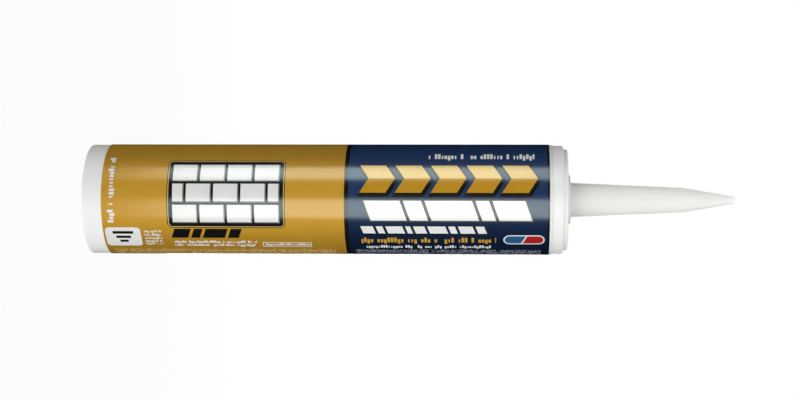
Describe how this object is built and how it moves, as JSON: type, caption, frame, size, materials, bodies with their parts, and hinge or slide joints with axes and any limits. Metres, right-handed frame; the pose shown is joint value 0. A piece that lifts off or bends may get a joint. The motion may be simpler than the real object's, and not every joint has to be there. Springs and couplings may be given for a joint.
{
  "type": "construction adhesive cartridge",
  "caption": "White plastic cartridge with a gold and dark blue label, a moulded head with a long tapered nozzle, and a plunger that slides up inside from the open rear.",
  "frame": {"origin": "centre of the barrel's open rear rim, which the cartridge stands on", "axes": "+Z along the barrel's axis towards the nozzle's tip, -Y towards the front of the printed label, whose film laps on the +Y side"},
  "size_m": [0.0502, 0.0503, 0.2926],
  "materials": {
    "barrel_plastic": "satin",
    "printed_film": "gloss",
    "head_plastic": "satin",
    "seal_foil": "satin",
    "plunger_plastic": "satin",
    "adhesive_paste": "satin"
  },
  "bodies": {
    "cartridge": {"barrel": "barrel_plastic", "label_film": "printed_film", "head_with_nozzle": "head_plastic", "inner_seal": "seal_foil", "adhesive_fill": "adhesive_paste"},
    "plunger": {"plunger": "plunger_plastic"}
  },
  "joints": [
    {"name": "plunger_travel", "type": "slide", "parent": "cartridge", "child": "plunger", "axis": [0, 0, 1], "range_m": [0, 0.1688], "deforming": ["adhesive_fill"]}
  ]
}
